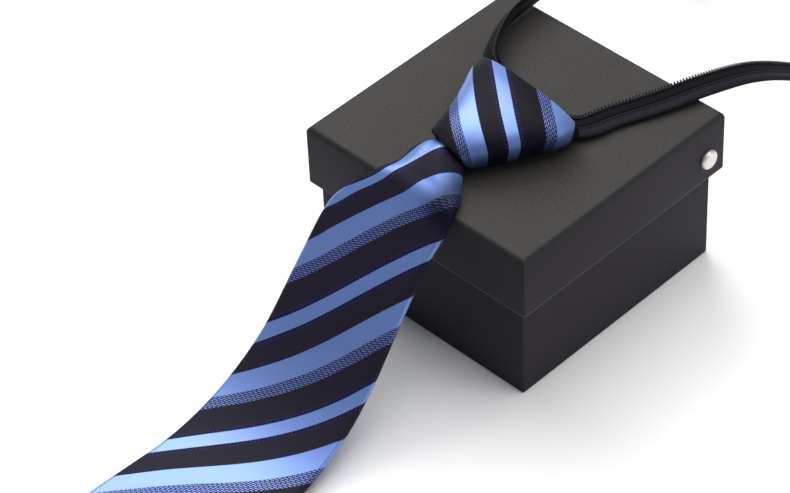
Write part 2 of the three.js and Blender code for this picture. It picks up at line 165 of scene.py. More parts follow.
# The blade's edges as shares of its width, how far its middle rises over its edges and
# how far its edges are lifted, by share of its length
BLADE_ROWS = table(
    "along left right rise lift",
    (-0.045, -0.078, 0.072, 0.036, 0.0325),
    (-0.010, -0.090, 0.074, 0.038, 0.0325),
    (0.008, -0.145, 0.138, 0.075, 0.016),
    (0.026, -0.148, 0.220, 0.062, 0.003),
    (0.040, -0.190, 0.253, 0.030, 0),
    (0.057, -0.265, 0.262, 0.018, 0),
    (0.080, -0.322, 0.256, 0.014, 0),
    (0.123, -0.322, 0.274, 0.012, 0),
    (0.186, -0.305, 0.312, 0.010, 0),
    (0.245, -0.300, 0.345, 0.008, 0),
    (0.310, -0.300, 0.365, 0.006, 0),
    (0.385, -0.316, 0.394, 0.004, 0),
    (0.640, -0.375, 0.500, 0, 0),
    (0.900, -0.425, 0.575, 0, 0),
    (1.000, 0.068, 0.082, 0, 0),
)

# Where the stripes lie on the blade: their shift down the blade on the knot's centre
# line, their slope across it, how far they bow, and how many millimetres of them are
# tucked into the left fold, by share of the blade's length
STRIPE_ROWS = table(
    "along shift slope bow tuck",
    (-0.045, -0.25, 0.60, 2.0, 0),
    (-0.005, -0.11, 0.86, 2.0, 0),
    (0.010, -0.05, 0.99, 1.3, 0.4),
    (0.022, -0.01, 1.06, 0.6, 0.9),
    (0.034, 0.02, 1.14, 0.0, 2.3),
    (0.047, 0.01, 1.20, -0.3, 1.9),
    (0.065, 0.00, 1.17, -0.2, 1.4),
    (0.090, 0.02, 1.14, -0.1, 0.8),
    (0.116, 0.06, 1.13, 0, 0),
    (0.155, 0.125, 1.11, 0.25, 0),
    (0.184, 0.17, 1.09, 0.35, 0),
    (0.202, 0.195, 1.08, 0.3, 0),
    (0.232, 0.22, 1.05, 0.2, 0),
    (0.273, 0.235, 0.99, 0.1, 0),
    (0.309, 0.24, 0.99, -0.15, 0),
    (0.360, 0.245, 1.02, -0.4, 0),
    (1.000, 0.245, 1.02, 0, 0),
)

# The knot from its narrow to its wide end: its sides as shares of its width, its height
# as a share of the full one, its lean towards the blade and its turn in degrees
KNOT_ROWS = table(
    "along left right height lean skew",
    (0.00, -0.245, 0.145, 0.67, 0.53, -13),
    (0.10, -0.245, 0.190, 0.78, 0.50, -13),
    (0.30, -0.274, 0.285, 0.91, 0.44, -12),
    (0.55, -0.345, 0.388, 0.99, 0.39, -10),
    (0.80, -0.430, 0.475, 1.00, 0.36, -7),
    (1.00, -0.465, 0.465, 0.93, 0.36, -5),
)

# The neck loop's seam from the knot's right corner round to its left one: shares of the
# loop's width and reach, share of the box's height, lift as a share of the strap's
# width, and the angles of tape and band from the loop's inside, in degrees
LOOP_ROWS = table(
    "order across back height lift tape band",
    (0, 0.047, -0.008, 1.000, 0.498, 0, 180),
    (1, 0.092, 0.011, 1.000, 0.412, -5, 180),
    (2, 0.175, 0.038, 1.000, 0.215, 0, 180),
    (3, 0.211, 0.093, 1.000, 0.137, 6, 180),
    (4, 0.266, 0.157, 1.000, 0.163, 8, 180),
    (5, 0.313, 0.225, 1.000, 0.180, 4, 180),
    (6, 0.347, 0.312, 0.933, 0.140, 4, 182),
    (7, 0.375, 0.392, 0.779, 0.140, 5, 184),
    (8, 0.412, 0.479, 0.547, 0.140, 4, 184),
    (9, 0.454, 0.571, 0.284, 0.140, 3, 182),
    (10, 0.487, 0.667, 0.075, 0.140, 0, 180),
    (11, 0.487, 0.767, 0.000, 0.163, 0, 180),
    (12, 0.392, 0.883, 0.000, 0.129, 0, 180),
    (13, 0.167, 0.963, 0.000, 0.129, 0, 180),
    (14, -0.117, 0.967, 0.000, 0.129, 0, 180),
    (15, -0.360, 0.905, 0.000, 0.129, 0, 180),
    (16, -0.470, 0.800, 0.030, 0.163, 0, 180),
    (17, -0.475, 0.695, 0.200, 0.140, 2, 182),
    (18, -0.450, 0.600, 0.430, 0.140, 14, 196),
    (19, -0.410, 0.500, 0.680, 0.140, 30, 228),
    (20, -0.365, 0.395, 0.900, 0.140, 42, 256),
    (21, -0.325, 0.300, 1.000, 0.283, 48, 268),
    (22, -0.312, 0.237, 1.000, 0.524, 50, 272),
    (23, -0.308, 0.185, 1.000, 0.506, 48, 272),
    (24, -0.297, 0.139, 1.000, 0.498, 46, 272),
    (25, -0.257, 0.088, 1.000, 0.498, 42, 272),
    (26, -0.204, 0.046, 1.000, 0.498, 30, 264),
    (27, -0.108, 0.015, 1.000, 0.498, 8, 200),
    (28, -0.065, -0.008, 1.000, 0.498, 0, 180),
)


# Meshes

def made(name, vertices, faces, places=None):
    """A mesh object from points and faces, with a cloth map where places are given."""
    mesh = bpy.data.meshes.new(name)
    mesh.from_pydata([tuple(point) for point in vertices], [], faces)
    if places is not None:
        layer = mesh.uv_layers.new(name="cloth")
        layer.data.foreach_set("uv", np.asarray(places, dtype=float).ravel())
    mesh.validate()
    piece = bpy.data.objects.new(name, mesh)
    bpy.context.scene.collection.objects.link(piece)
    mesh.polygons.foreach_set("use_smooth", [True] * len(mesh.polygons))
    return piece


def lofted(name, rings, places, caps=True):
    """A tube through rings of points; places has one more column than a ring."""
    rings = np.asarray(rings, dtype=float)
    places = np.asarray(places, dtype=float)
    count, sides = rings.shape[:2]
    vertices = rings.reshape(-1, 3)
    faces = []
    uvs = []
    for i in range(count - 1):
        for j in range(sides):
            k = (j + 1) % sides
            faces.append((i * sides + j, i * sides + k, (i + 1) * sides + k, (i + 1) * sides + j))
            uvs.extend((places[i, j], places[i, j + 1], places[i + 1, j + 1], places[i + 1, j]))
    if caps:
        for end, order in ((0, -1), (count - 1, 1)):
            faces.append(tuple(end * sides + j for j in range(sides))[::order])
            uvs.extend([places[end, j] for j in range(sides)][::order])
    return made(name, vertices, faces, uvs)


def outward(piece, weld=0.0):
    """Turns a closed mesh's faces outwards, and joins points nearer than a distance."""
    mesh = bmesh.new()
    mesh.from_mesh(piece.data)
    if weld:
        bmesh.ops.remove_doubles(mesh, verts=mesh.verts, dist=weld)
    bmesh.ops.recalc_face_normals(mesh, faces=mesh.faces)
    mesh.to_mesh(piece.data)
    mesh.free()


def clear_selection():
    if bpy.context.object and bpy.context.object.mode != "OBJECT":
        bpy.ops.object.mode_set(mode="OBJECT")
    bpy.ops.object.select_all(action="DESELECT")


def named(name):
    """Gives the object that was just added its name and returns it."""
    piece = bpy.context.object
    piece.name = name
    piece.data.name = name
    return piece


def select_only(piece):
    clear_selection()
    piece.select_set(True)
    bpy.context.view_layer.objects.active = piece


def settle(piece):
    """Puts an object's place into its mesh, so that the object sits at the origin."""
    select_only(piece)
    bpy.ops.object.transform_apply(location=True, rotation=True, scale=True)


def finished(piece, kind, **values):
    """Adds a modifier to a piece and applies it."""
    select_only(piece)
    modifier = piece.modifiers.new(kind.title(), kind)
    for name, value in values.items():
        setattr(modifier, name, value)
    bpy.ops.object.modifier_apply(modifier=modifier.name)


def smooth_by_angle(piece, degrees):
    select_only(piece)
    bpy.ops.object.shade_smooth_by_angle(angle=math.radians(degrees))


def select_faces(test):
    """In edit mode, selects the faces of the active mesh that pass a test."""
    mesh = bmesh.from_edit_mesh(bpy.context.object.data)
    for face in mesh.faces:
        face.select_set(bool(test(face)))
    bmesh.update_edit_mesh(bpy.context.object.data)


def copies(name, model, frames):
    """One joined mesh of a model's copies, each placed by a turn and a point."""
    mesh = model.data
    points = np.empty(len(mesh.vertices) * 3)
    mesh.vertices.foreach_get("co", points)
    points = points.reshape(-1, 3)
    polygons = [tuple(polygon.vertices) for polygon in mesh.polygons]
    vertices = []
    faces = []
    for turn, point in frames:
        first = len(vertices)
        vertices.extend(points @ np.asarray(turn).T + np.asarray(point))
        faces.extend(tuple(first + corner for corner in polygon) for polygon in polygons)
    bpy.data.objects.remove(model)
    return made(name, vertices, faces)


def dressed(piece, material, slot, *replaced):
    """Gives a piece its material, puts it under the root and hides the model parts it replaces."""
    piece.data.materials.clear()
    piece.data.materials.append(material)
    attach(piece, "root")
    if replaced:
        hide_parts(*replaced)


# Shader maths

class Wire:
    """A socket whose arithmetic adds Math nodes."""

    def __init__(self, finish, socket):
        self.finish = finish
        self.socket = socket

    def math(self, operation, *others):
        values = dict(enumerate((self, *others)))
        return self.finish.add("ShaderNodeMath", {"operation": operation}, values)

    def __add__(self, other):
        return self.math("ADD", other)

    __radd__ = __add__

    def __sub__(self, other):
        return self.math("SUBTRACT", other)

    def __rsub__(self, other):
        return self.finish.add("ShaderNodeMath", {"operation": "SUBTRACT"}, {0: other, 1: self})

    def __mul__(self, other):
        return self.math("MULTIPLY", other)

    def __truediv__(self, other):
        return self.math("DIVIDE", other)

    def part(self):
        """What is left over a whole number."""
        return self.math("FRACT")

    def size(self):
        return self.math("ABSOLUTE")

    def ridge(self):
        """1 at each whole number and 0 halfway to the next."""
        return (self.part() - 0.5).size() * 2.0

    def most(self, other):
        return self.math("MAXIMUM", other)

    def step(self, start, end):
        """A smooth step from 0 at start to 1 at end."""
        values = {0: self, 1: start, 2: end, 3: 0.0, 4: 1.0}
        return self.finish.add(
            "ShaderNodeMapRange", {"interpolation_type": "SMOOTHSTEP"}, values)

    def between(self, start, end, soft):
        """1 from start to end, with soft ends."""
        return self.step(start - soft, start + soft) * (1.0 - self.step(end - soft, end + soft))


class Finish:
    """One material with its Principled shader."""

    def __init__(self, name, **constants):
        self.material = bpy.data.materials.new(name)
        self.material.use_nodes = True
        self.tree = self.material.node_tree
        self.tree.nodes.clear()
        self.shader = self.tree.nodes.new("ShaderNodeBsdfPrincipled")
        output = self.tree.nodes.new("ShaderNodeOutputMaterial")
        self.tree.links.new(self.shader.outputs[0], output.inputs[0])
        for name, value in constants.items():
            self.socket(name).default_value = value

    def add(self, kind, settings=None, sockets=None, output=0):
        """Adds a node with its settings, fills its sockets and gives one output."""
        node = self.tree.nodes.new(kind)
        for name, value in (settings or {}).items():
            setattr(node, name, value)
        for name, value in (sockets or {}).items():
            if isinstance(value, Wire):
                self.tree.links.new(value.socket, node.inputs[name])
            else:
                node.inputs[name].default_value = value
        return Wire(self, node.outputs[output])

    def split(self, vector):
        node = self.add("ShaderNodeSeparateXYZ", None, {0: vector}).socket.node
        return [Wire(self, socket) for socket in node.outputs]

    def join(self, x, y, z):
        return self.add("ShaderNodeCombineXYZ", None, {0: x, 1: y, 2: z})

    def places(self):
        return self.add("ShaderNodeTexCoord", None, None, "Object")

    def cloth(self):
        return self.add("ShaderNodeUVMap", {"uv_map": "cloth"})

    def noise(self, vector, scale, detail=3.0, roughness=0.55):
        values = {"Vector": vector, "Scale": scale, "Detail": detail, "Roughness": roughness}
        return self.add("ShaderNodeTexNoise", None, values)

    def blend(self, factor, first, second):
        """A colour between two colours."""
        values = {0: factor, 6: tinted(first), 7: tinted(second)}
        return self.add("ShaderNodeMix", {"data_type": "RGBA"}, values, 2)

    def shade(self, factor, colour, dark, light):
        """A colour between two strengths of itself."""
        return self.blend(factor, scaled(colour, dark), scaled(colour, light))

    def bump(self, height, distance, strength=1.0):
        values = {"Height": height, "Distance": distance, "Strength": strength}
        return self.add("ShaderNodeBump", None, values)

    def socket(self, name):
        """The shader's socket for a name such as base_color."""
        return self.shader.inputs[name.replace("_", " ").title().replace("Ior", "IOR")]

    def set(self, **sockets):
        for name, wire in sockets.items():
            self.tree.links.new(wire.socket, self.socket(name))
        return self.material


def tinted(colour):
    """A colour as a colour socket takes it."""
    return colour if isinstance(colour, Wire) else (*colour[:3], 1.0)


def scaled(colour, strength):
    return [channel * strength for channel in colour]


# Silk

# Stripes across one repeat, in order down the blade, as shares of the repeat
THIN_STRIPE = (0.0, 0.1375)
WIDE_STRIPE = (0.3884, 0.5976)
HATCHED_STRIPE = (0.5976, 0.7171)
STRIPE_LEAD = 0.12
BIAS = math.sqrt(0.5)

# Everything woven, in millimetres of cloth: the twill's ridges, the ticks, squares and
# border beside the thin stripe by distance from it, and the dashes of the hatched stripe
TWILL_PITCH = 0.62
TWILL_ALONG = 0.72
TWILL_ACROSS = 0.69
STRIPE_JAG = 0.20
STRIPE_SOFTNESS = 0.10
TICK_PITCH = 1.45
TICK_LEAN = 0.45
TICK_REACH = (0.40, 1.60)
SQUARE_REACH = (-0.12, 0.80)
BORDER_REACH = (-0.12, 0.26)
HATCH_PITCH = 0.72
HATCH_LONG = 0.87
HATCH_SHORT = 0.50
DASH_PITCH = 2.5
DASH_STAGGER = 0.40

# Where the silk passes into the knot, and where it turns under beside it and low on it.
# These mark painted light and shade: a darker ground on the knot, a lighter one on the blade,
# and painted shade where the silk turns under
MOUTH_Y = (-35 * MM, -31 * MM)
TURNED_X = (4 * MM, 14 * MM)
TURNED_Y = (-56 * MM, -37 * MM)
LOW_Z = (67 * MM, 82 * MM)


def silk(settings):
    """Striped silk on a cloth map whose unit is one repeat, square to the stripes."""
    finish = Finish("striped_silk", specular_ior_level=0.08, coat_roughness=0.36)
    unit = settings.repeat * BIAS / MM
    along, across, _ = finish.split(finish.cloth())
    along = along * unit
    cloth = finish.join(along, across * unit, 0.0)
    worn = finish.noise(cloth, 0.35, 2.0)
    fleck = finish.noise(cloth, 2.4, 2.0)
    weave = (along * TWILL_ALONG + across * unit * TWILL_ACROSS) / TWILL_PITCH
    ridge = weave.ridge()
    edge = (across + (weave.part() - 0.5) * (STRIPE_JAG / unit) + STRIPE_LEAD).part()
    thin, wide, hatched = (
        edge.between(first + STRIPE_LEAD, last + STRIPE_LEAD, STRIPE_SOFTNESS / unit)
        for first, last in (THIN_STRIPE, WIDE_STRIPE, HATCHED_STRIPE))
    lit = thin.most(wide)

    # Ticks on both sides of the thin stripe
    offset = (edge - (sum(THIN_STRIPE) / 2 + STRIPE_LEAD)) * unit
    away = offset.size() - (THIN_STRIPE[1] - THIN_STRIPE[0]) / 2 * unit
    beat = (along + offset * TICK_LEAN) / TICK_PITCH
    ticks = beat.part().between(0.18, 0.62, 0.10) * away.between(*TICK_REACH, 0.20)
    squares = (beat + 0.5).part().between(0.14, 0.62, 0.08) * away.between(*SQUARE_REACH, 0.10)
    border = away.between(*BORDER_REACH, 0.08)
    sewn = ticks * (0.55 + worn.step(0.30, 0.62) * 0.45)

    # Broken dashes of the hatched stripe, leaning to it
    depth = edge * unit
    row = (along * HATCH_SHORT - depth * HATCH_LONG) / HATCH_PITCH
    lane = row.part()
    dash = (along * HATCH_LONG + depth * HATCH_SHORT) / DASH_PITCH + (row - lane) * DASH_STAGGER
    pale = lane.between(0.28, 0.70, 0.16) * dash.part().between(0.05, 0.88, 0.05)

    # Painted shade where the cloth turns under beside the knot and low on the knot, and a ground
    # painted darker on the knot and lighter on the blade
    x, y, z = finish.split(finish.places())
    wrapped = y.step(*MOUTH_Y)
    # Painted shade where the blade's right edge turns down beside the knot
    beside = x.step(*TURNED_X) * y.between(*TURNED_Y, 3 * MM)
    # Painted shade on the knot, darker towards its foot
    low = (1.0 - z.step(*LOW_Z)) * wrapped
    # All the painted shade in one mask
    under = (beside * 0.80).most(low * 0.95)

    # Painted light and shade: the ground is painted darker on the knot, past its mouth, and lighter
    # on the blade
    night = finish.blend(
        fleck,
        finish.shade(wrapped, settings.night, 1.15, 0.55),
        finish.shade(wrapped, settings.night, 2.0, 1.0))
    colour = finish.blend(sewn, night, settings.plum)
    colour = finish.blend(border.most(squares) * 0.85, colour, scaled(settings.navy, 0.45))
    colour = finish.blend(hatched, colour, finish.blend(pale, settings.navy, settings.mist))
    colour = finish.blend(lit, colour, finish.shade(ridge, settings.sky, 0.74, 1.18))
    # Painted shade: the silk is darkened towards navy where it turns under and low on the knot
    colour = finish.blend(under, colour, scaled(settings.navy, 0.3))
    # The sheen is taken away where the shade is painted
    satin = lit.most(hatched * pale) * (1.0 - under)
    height = ridge * 0.5 + lit * 0.4 + sewn * 0.8 + hatched * pale * 0.6 + fleck * 0.2
    return finish.set(
        base_color=colour,
        roughness=0.50 - satin * 0.12 + (1.0 - ridge) * 0.05,
        metallic=satin * 0.50,
        coat_weight=satin * 0.50,
        normal=finish.bump(height, 0.05 * MM, 0.5),
    )


def silk_material(settings):
    """The silk is made once and shared by the blade and the knot."""
    return bpy.data.materials.get("striped_silk") or silk(settings)


# Blade

BLADE_X = -1.0 * MM
BLADE_START_Y = -33.0 * MM
BLADE_TUCK = 20.0 * MM
BLADE_SLOPE = math.radians(44)
BLADE_EDGE_BEND = 4.0 * MM
BLADE_LANDING = 88.0 * MM
LID_EDGE = 2.3 * MM


def blade_spine(length, half):
    """The middle of the blade's thickness by length from the knot: y, z and pitch."""
    top = LID_TOP + GAP + half
    floor = GAP + half
    bend_y = LID_FRONT + LID_EDGE
    drop = (BLADE_EDGE_BEND + BLADE_LANDING) * (1 - math.cos(BLADE_SLOPE))
    ramp = (top - floor - drop) / math.sin(BLADE_SLOPE)
    bend_at = BLADE_START_Y - bend_y
    ramp_at = bend_at + BLADE_EDGE_BEND * BLADE_SLOPE
    land_at = ramp_at + ramp
    floor_at = land_at + BLADE_LANDING * BLADE_SLOPE
    if length < bend_at:
        return BLADE_START_Y - length, top, 0.0
    if length < ramp_at:
        turn = (length - bend_at) / BLADE_EDGE_BEND
        return (bend_y - BLADE_EDGE_BEND * math.sin(turn),
                top - BLADE_EDGE_BEND * (1 - math.cos(turn)), turn)
    ramp_y = bend_y - BLADE_EDGE_BEND * math.sin(BLADE_SLOPE)
    ramp_z = top - BLADE_EDGE_BEND * (1 - math.cos(BLADE_SLOPE))
    if length < land_at:
        down = length - ramp_at
        return (ramp_y - down * math.cos(BLADE_SLOPE), ramp_z - down * math.sin(BLADE_SLOPE),
                BLADE_SLOPE)
    land_y = ramp_y - ramp * math.cos(BLADE_SLOPE)
    if length < floor_at:
        turn = BLADE_SLOPE - (length - land_at) / BLADE_LANDING
        return (land_y - BLADE_LANDING * (math.sin(BLADE_SLOPE) - math.sin(turn)),
                floor + BLADE_LANDING * (1 - math.cos(turn)), turn)
    return land_y - BLADE_LANDING * math.sin(BLADE_SLOPE) - (length - floor_at), floor, 0.0


# Points on each stretch of the blade's section: its face, one edge, half of its underside
FACE_POINTS = 56
EDGE_POINTS = 7
BACK_POINTS = 10
SEAM_DEPTH = 0.45 * MM
SEAM_REACH = 1.2 * MM


def blade_section(left, right, half):
    """Points (x, height, cloth) of one flat section, from the seam on its underside round
    by its left edge, its face and its right edge. Cloth is measured round the folds."""
    width = right - left
    roll = min(half, width * 0.45)
    face = width - 2 * roll

    def back(side, share):
        """A point of the underside, by its share of the way from the seam to an edge."""
        edge = left if side < 0 else right
        x = (left + right) / 2 + side * share * (width / 2 - roll)
        seam = SEAM_DEPTH * math.exp(-(share * width * 0.5 / SEAM_REACH) ** 2)
        return x, -half + seam, edge + (edge - x) + side * roll * (math.pi / 2 - 1)

    turns = [math.pi * i / EDGE_POINTS for i in range(EDGE_POINTS)]
    crossing = [left + roll + face * i / FACE_POINTS for i in range(FACE_POINTS)]
    return (
        [back(-1, i / BACK_POINTS) for i in range(BACK_POINTS)]
        + [(left + roll * (1 - math.sin(turn)), -half * math.cos(turn),
            left + roll * (1 - math.pi + turn)) for turn in turns]
        + [(x, half, x) for x in crossing]
        + [(right - roll * (1 - math.sin(turn)), half * math.cos(turn),
            right - roll * (1 - turn)) for turn in turns]
        + [back(1, 1 - i / BACK_POINTS) for i in range(BACK_POINTS + 1)])


# The soft unevenness of the pressed silk: gathers beside the knot, and the body's waves
GATHER_RISE = 0.35 * MM
GATHER_LENGTH = 22 * MM
WAVE_RISE = 0.12 * MM
WAVE_LENGTH = 31 * MM


def blade_ripple(length, share):
    near = math.exp(-max(length, 0.0) / GATHER_LENGTH)
    gathers = GATHER_RISE * near * math.sin(share * 7.5 + 0.6)
    waves = WAVE_RISE * math.sin(length / WAVE_LENGTH + 1.7 * share)
    return (gathers + waves) * (1 - share**2)


# Sections lie closer before the neck's end and after the shoulder, which are shares of
# the length. The left fold, which takes in the tucked stripes, is measured from the edge
NECK_END = 0.07
NECK_SECTIONS = 60
SHOULDER = 0.90
BODY_SECTIONS = 190
POINT_SECTIONS = 40
FOLD_START = 6.5 * MM
FOLD_WIDTH = 2.5 * MM


def build_blade(settings):
    half = settings.blade_thickness / 2
    reach = settings.blade_length
    stops = np.concatenate([
        np.linspace(-BLADE_TUCK, NECK_END * reach, NECK_SECTIONS, endpoint=False),
        np.linspace(NECK_END * reach, SHOULDER * reach, BODY_SECTIONS, endpoint=False),
        np.linspace(SHOULDER * reach, reach, POINT_SECTIONS)])
    rings = []
    places = []
    for length in stops:
        along = length / reach
        left, right, rise, lift = (
            read(BLADE_ROWS, name, along) * settings.blade_width
            for name in ("left", "right", "rise", "lift"))
        y, z, pitch = blade_spine(length, half)
        out = np.array([0.0, -math.sin(pitch), math.cos(pitch)])
        shift = read(STRIPE_ROWS, "shift", along) * settings.repeat
        slope = read(STRIPE_ROWS, "slope", along)
        curve = read(STRIPE_ROWS, "bow", along) / settings.blade_width
        tuck = read(STRIPE_ROWS, "tuck", along) * MM
        ring = []
        row = []
        for x, height, cloth in blade_section(left, right, half):
            share = (x - (left + right) / 2) / max((right - left) / 2, MM)
            bow = lift + rise * (1 - share**2)
            if height > 0:
                bow += blade_ripple(length, share)
            ring.append(np.array([BLADE_X + x, y, z]) + out * (height + bow))
            folded = min(max((left + FOLD_START - cloth) / FOLD_WIDTH, 0.0), 1.0)
            stripe = length - shift + slope * cloth + curve * cloth**2
            stripe -= tuck * folded**2 * (3 - 2 * folded)
            row.append(((cloth - length) / settings.repeat, stripe / settings.repeat))
        rings.append(ring[:-1])
        places.append(row)
    piece = lofted("silk_blade", rings, places)
    outward(piece)
    return piece


# Knot

KNOT_X = 1.5 * MM
KNOT_START_Y = -29.0 * MM
KNOT_FOOT = LID_TOP + GAP
KNOT_CROWN_ROUNDNESS = 0.9
KNOT_FOOT_ROUNDNESS = 0.55
KNOT_SIDES = 144
KNOT_SECTIONS = 64
KNOT_LINING_SECTIONS = 20
KNOT_RIM = 0.025
KNOT_RIM_STEPS = 8

# The stripes on the knot: the stripe coordinate at the crown of the narrow mouth, and how
# fast it falls with each millimetre of girth and over the knot's length, in millimetres,
# and how fast the cloth runs along the stripes with girth and length
KNOT_STRIPE_START = 94.0
KNOT_STRIPE_GIRTH = 0.69
KNOT_STRIPE_TWIST = 0.21
KNOT_STRIPE_LENGTH = 63.4
KNOT_STRIPE_SPREAD = 10.8
KNOT_WEAVE_GIRTH = 0.874
KNOT_WEAVE_LENGTH = 0.486


def knot_ring(settings, along, inset):
    left = read(KNOT_ROWS, "left", along) * settings.knot_width + inset
    right = read(KNOT_ROWS, "right", along) * settings.knot_width - inset
    height = read(KNOT_ROWS, "height", along) * settings.knot_height - 2 * inset
    lean = read(KNOT_ROWS, "lean", along)
    skew = math.radians(read(KNOT_ROWS, "skew", along))
    ring = []
    for i in range(KNOT_SIDES):
        turn = -math.pi / 2 + 2 * math.pi * i / KNOT_SIDES
        c, s = math.cos(turn), math.sin(turn)
        roundness = KNOT_CROWN_ROUNDNESS if s > 0 else KNOT_FOOT_ROUNDNESS
        across = (left + right) / 2 + math.copysign(abs(c) ** roundness, c) * (right - left) / 2
        up = (1 + math.copysign(abs(s) ** roundness, s)) / 2 * height + inset
        ring.append((
            KNOT_X + across * math.cos(skew),
            KNOT_START_Y + along * settings.knot_length + across * math.sin(skew) - lean * up,
            KNOT_FOOT + up,
        ))
    return np.array(ring)


def knot_girth(ring):
    """Distance round a ring from its crown, positive to the right, seam at the foot."""
    closed = np.vstack([ring, ring[:1]])
    steps = np.linalg.norm(np.diff(closed, axis=0), axis=1)
    travelled = np.concatenate([[0.0], np.cumsum(steps)])
    return travelled[KNOT_SIDES // 2] - travelled


def build_knot(settings):
    """An open sleeve: out along its face, round one rim, back inside and round the other."""
    wall = settings.knot_wall
    turns = [math.pi * i / KNOT_RIM_STEPS for i in range(1, KNOT_RIM_STEPS)]
    path = [(along, 0.0) for along in np.linspace(KNOT_RIM, 1 - KNOT_RIM, KNOT_SECTIONS)]
    path += [(1 - KNOT_RIM * (1 - math.sin(turn)), wall / 2 * (1 - math.cos(turn)))
             for turn in turns]
    path += [(along, wall)
             for along in np.linspace(1 - KNOT_RIM, KNOT_RIM, KNOT_LINING_SECTIONS)]
    path += [(KNOT_RIM * (1 - math.sin(turn)), wall / 2 * (1 + math.cos(turn)))
             for turn in turns]
    rings = []
    places = []
    for along, inset in path:
        ring = knot_ring(settings, along, inset)
        girth = knot_girth(ring) / MM
        stripe = (KNOT_STRIPE_START - (KNOT_STRIPE_GIRTH + KNOT_STRIPE_TWIST * along) * girth
                  - KNOT_STRIPE_LENGTH * along + KNOT_STRIPE_SPREAD * along**2)
        run = KNOT_WEAVE_GIRTH * girth - KNOT_WEAVE_LENGTH * along * settings.knot_length / MM
        unit = settings.repeat / MM
        rings.append(ring)
        places.append(np.stack([run / (unit * BIAS), stripe / unit], axis=1))
    rings.append(rings[0])
    places.append(places[0])
    piece = lofted("silk_knot", rings, places, caps=False)
    outward(piece, weld=0.001 * MM)
    return piece


def blade_area(settings):
    """Flat area of the folded blade in square metres."""
    reach = settings.blade_length
    stops = np.linspace(-BLADE_TUCK, reach, 200)
    widths = [(read(BLADE_ROWS, "right", s / reach) - read(BLADE_ROWS, "left", s / reach))
              * settings.blade_width for s in stops]
    return float(np.trapz(widths, stops))


# Neck loop

LOOP_WIDTH = 120.0 * MM
LOOP_REACH = 240.0 * MM
SEAM_TO_TAPE = 0.25 * MM
SEAM_TO_BAND = 0.5 * MM
TEETH_WIDTH = 1.7 * MM
LOOP_STEPS = 360
LOOP_MEASURES = 1201


def loop_points(settings):
    """The loop's points in metres."""
    tape = SEAM_TO_TAPE + settings.tape_width + GAP + TEETH_WIDTH
    strap = tape + SEAM_TO_BAND + settings.band_width
    return np.array([
        (across * LOOP_WIDTH, back * LOOP_REACH, height * LID_TOP + lift * strap)
        for across, back, height, lift in zip(
            LOOP_ROWS["across"], LOOP_ROWS["back"], LOOP_ROWS["height"], LOOP_ROWS["lift"])])


def loop_curve(points, t):
    """A centripetal curve through the points: place and direction at t from 0 to 1."""
    last = len(points) - 1
    place = min(t * last, last - 1e-9)
    i = int(place)
    weight = place - i
    before = points[i - 1] if i > 0 else 2 * points[0] - points[1]
    after = points[i + 2] if i + 2 <= last else 2 * points[last] - points[last - 1]
    start, end = points[i], points[i + 1]
    gaps = [math.sqrt(np.linalg.norm(b - a))
            for a, b in ((before, start), (start, end), (end, after))]
    leave = ((start - before) / gaps[0] - (end - before) / (gaps[0] + gaps[1])
             + (end - start) / gaps[1]) * gaps[1]
    arrive = ((end - start) / gaps[1] - (after - start) / (gaps[1] + gaps[2])
              + (after - end) / gaps[2]) * gaps[1]
    square = -3 * start + 3 * end - 2 * leave - arrive
    cube = 2 * start - 2 * end + leave + arrive
    at = start + leave * weight + square * weight**2 + cube * weight**3
    way = leave + 2 * square * weight + 3 * cube * weight**2
    return at, way / np.linalg.norm(way)


def loop_frames(settings, side, count):
    """Even places along the loop for the tape or the band: distance and point, and the
    ways along the loop, outwards from the seam and up from the strip."""
    points = loop_points(settings)
    fine = np.linspace(0, 1, LOOP_MEASURES)
    line = np.array([loop_curve(points, t)[0] for t in fine])
    run = np.concatenate([[0.0], np.cumsum(np.linalg.norm(np.diff(line, axis=0), axis=1))])
    frames = []
    for distance in np.linspace(0, run[-1], count):
        t = float(np.interp(distance, run, fine))
        at, tangent = loop_curve(points, t)
        inward = np.cross((0.0, 0.0, 1.0), tangent)
        inward /= np.linalg.norm(inward)
        upward = np.cross(tangent, inward)
        angle = math.radians(read(LOOP_ROWS, side, t * (len(points) - 1)))
        out = inward * math.cos(angle) + upward * math.sin(angle)
        normal = upward * math.cos(angle) - inward * math.sin(angle)
        frames.append((distance, at, tangent, out, -normal if side == "band" else normal))
    return frames


def along_loop(settings, side, pitch):
    """A turn and a point for each copy along the tape or the band."""
    length = loop_frames(settings, side, 2)[-1][0]
    return [(np.stack([out, tangent, normal], axis=1), at)
            for _, at, tangent, out, normal in loop_frames(settings, side, int(length / pitch))]


def strip(name, settings, side, section):
    """The tape or the band along the loop, through one section in millimetres."""
    walked = [0.0]
    for (u, v), (a, b) in zip(section, section[1:] + section[:1]):
        walked.append(walked[-1] + math.hypot(a - u, b - v))
    rings = []
    places = []
    for distance, at, _, out, normal in loop_frames(settings, side, LOOP_STEPS):
        rings.append([at + out * (u * MM) + normal * (v * MM) for u, v in section])
        places.append([(distance / MM, girth) for girth in walked])
    piece = lofted(name, rings, places)
    outward(piece)
    return piece


